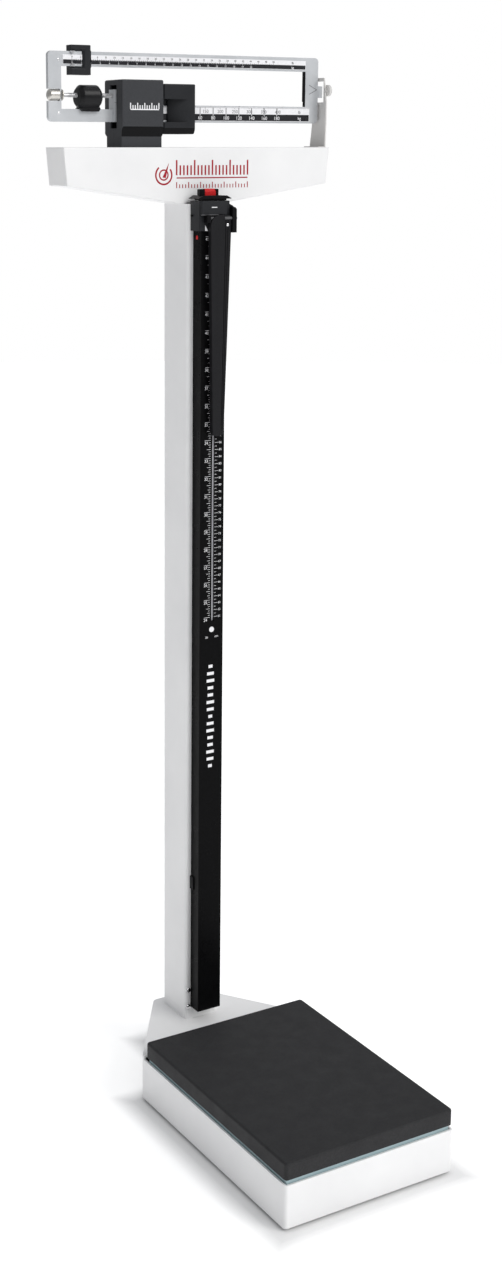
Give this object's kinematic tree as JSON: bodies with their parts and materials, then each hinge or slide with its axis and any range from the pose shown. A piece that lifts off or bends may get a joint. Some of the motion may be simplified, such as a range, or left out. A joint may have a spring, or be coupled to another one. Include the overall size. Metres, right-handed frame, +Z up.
{
  "type": "physician beam scale",
  "caption": "Upright weighing scale with a low platform, a column with a telescoping height rod and folding headpiece, and a balance beam with sliding poises.",
  "frame": {"origin": "on the floor under the centre of the base, the bottom of its feet", "axes": "+Z up; the user stands on the platform at -Y, the column and beam are at +Y; +X is the beam's pointer end"},
  "size_m": [0.4338, 0.508, 1.478],
  "materials": {
    "white_enamel": "fine powder coat",
    "black_cover": "matte fine-grained mat",
    "cast_iron": "painted casting",
    "grey_frame": "satin paint",
    "rubber": "matte",
    "steel": "turned",
    "chrome": "polished",
    "tower_plastic": "fine moulded texture",
    "pale_zinc": "satin",
    "beam_silver": "satin die casting",
    "scale_label": "printed plate",
    "black_extrusion": "semi-gloss",
    "black_weight": "semi-gloss",
    "white_trim": "satin",
    "red_plastic": "gloss"
  },
  "bodies": {
    "base": {"base_cover": "white_enamel", "base_frame": "cast_iron", "feet": "rubber", "lever_stands": "cast_iron", "column_foot": "cast_iron", "column": "white_enamel", "column_screws": "chrome", "column_head": "cast_iron", "beam_shelf": "white_enamel", "shelf_screws": "chrome", "tower_front_cover": "tower_plastic", "tower_rear_cover": "tower_plastic", "fulcrum_stand": "cast_iron", "fulcrum_bearings": "steel", "transfer_stand": "cast_iron", "trig_loop": "pale_zinc", "rod_housing": "black_extrusion", "housing_clips": "black_extrusion", "housing_end_cap": "black_extrusion", "rod_stop": "white_trim", "rod_marker": "red_plastic"},
    "platform": {"platform_cover": "black_cover", "platform_frame": "grey_frame", "platform_rim": "grey_frame", "platform_bearings": "cast_iron"},
    "long_lever": {"long_lever": "cast_iron", "long_lever_pivots": "steel"},
    "short_lever": {"short_lever": "cast_iron", "short_lever_pivots": "steel"},
    "lever_link": {"lever_link": "steel"},
    "draw_rod": {"draw_rod": "steel", "draw_rod_clevises": "steel"},
    "transfer_lever": {"transfer_lever": "cast_iron", "transfer_pivots": "steel"},
    "beam_link": {"beam_link": "steel"},
    "beam": {"beam_frame": "beam_silver", "beam_pivots": "steel", "beam_tip": "beam_silver", "balance_post": "beam_silver", "upper_scale": "scale_label", "lower_scale": "scale_label"},
    "main_poise": {"main_poise": "tower_plastic", "main_poise_pawl": "steel"},
    "small_poise": {"small_poise": "black_extrusion", "small_poise_pointer": "chrome"},
    "balance_screw": {"balance_screw": "steel", "balance_knob": "chrome"},
    "balance_weight": {"balance_weight": "black_weight"},
    "lock_knob": {"lock_knob": "chrome"},
    "inner_rod": {"inner_rod": "white_trim", "rod_cap": "black_extrusion", "button_housing": "black_extrusion", "button_spring": "steel"},
    "release_button": {"release_button": "red_plastic"},
    "slider": {"slider": "black_extrusion", "slider_ears": "black_extrusion", "hinge_screw": "chrome"},
    "headpiece": {"headpiece": "black_extrusion"}
  },
  "joints": [
    {"name": "beam_tilt", "type": "hinge", "parent": "base", "child": "beam", "pos_m": [-0.089, 0.2117, 1.408], "axis": [0, 1, 0], "range_deg": [-1.1, 1.1]},
    {"name": "main_poise_slide", "type": "slide", "parent": "beam", "child": "main_poise", "axis": [1, 0, 0], "range_m": [0, 0.189]},
    {"name": "small_poise_slide", "type": "slide", "parent": "beam", "child": "small_poise", "axis": [1, 0, 0], "range_m": [0, 0.3137]},
    {"name": "balance_turn", "type": "hinge", "parent": "beam", "child": "balance_screw", "pos_m": [-0.2, 0.2117, 1.4143], "axis": [1, 0, 0], "range_deg": [-2710, 2710]},
    {"name": "balance_shift", "type": "slide", "parent": "beam", "child": "balance_weight", "axis": [1, 0, 0], "range_m": [-0.015, 0.015]},
    {"name": "beam_link_lift", "type": "slide", "parent": "base", "child": "beam_link", "axis": [0, 0, 1], "range_m": [-0.000405, 0.000405]},
    {"name": "transfer_tilt", "type": "hinge", "parent": "base", "child": "transfer_lever", "pos_m": [-0.15, 0.2117, 1.311], "axis": [0, 1, 0], "range_deg": [-0.55, 0.55]},
    {"name": "draw_rod_lift", "type": "slide", "parent": "base", "child": "draw_rod", "axis": [0, 0, 1], "range_m": [-0.00146, 0.00146]},
    {"name": "long_lever_tilt", "type": "hinge", "parent": "base", "child": "long_lever", "pos_m": [0, -0.215, 0.042], "axis": [1, 0, 0], "range_deg": [-0.1963, 0.1963]},
    {"name": "short_lever_tilt", "type": "hinge", "parent": "base", "child": "short_lever", "pos_m": [0, 0.085, 0.042], "axis": [1, 0, 0], "range_deg": [-0.1963, 0.1963]},
    {"name": "lever_link_lift", "type": "slide", "parent": "base", "child": "lever_link", "axis": [0, 0, 1], "range_m": [-0.00052, 0.00052]},
    {"name": "platform_lift", "type": "slide", "parent": "base", "child": "platform", "axis": [0, 0, 1], "range_m": [-0.00018, 0.00018]},
    {"name": "lock_turn", "type": "hinge", "parent": "base", "child": "lock_knob", "pos_m": [0.2085, 0.194, 1.4253], "axis": [1, 0, 0], "range_deg": [0, 90]},
    {"name": "rod_extend", "type": "slide", "parent": "base", "child": "inner_rod", "axis": [0, 0, 1], "range_m": [0, 0.838]},
    {"name": "release_press", "type": "slide", "parent": "inner_rod", "child": "release_button", "axis": [0, 0, -1], "range_m": [0, 0.002], "stiffness_N_per_m": 600, "springref_m": -0.001, "deforming": ["button_spring"]},
    {"name": "slider_slide", "type": "slide", "parent": "inner_rod", "child": "slider", "axis": [0, 0, 1], "range_m": [-0.533, 0]},
    {"name": "headpiece_swing", "type": "hinge", "parent": "slider", "child": "headpiece", "pos_m": [0, 0.1469, 1.254], "axis": [-1, 0, 0], "range_deg": [0, 90]}
  ],
  "couplings": [
    {"joint": "balance_turn", "follows": "balance_shift", "rad_per_m": 3141.6},
    {"joint": "beam_link_lift", "follows": "beam_tilt", "m_per_rad": 0.02},
    {"joint": "transfer_tilt", "follows": "beam_tilt", "ratio": -0.4878},
    {"joint": "draw_rod_lift", "follows": "beam_tilt", "m_per_rad": 0.073171},
    {"joint": "long_lever_tilt", "follows": "beam_tilt", "ratio": 0.17148},
    {"joint": "short_lever_tilt", "follows": "beam_tilt", "ratio": -0.17148},
    {"joint": "lever_link_lift", "follows": "beam_tilt", "m_per_rad": 0.025722},
    {"joint": "platform_lift", "follows": "beam_tilt", "m_per_rad": 0.008574}
  ]
}
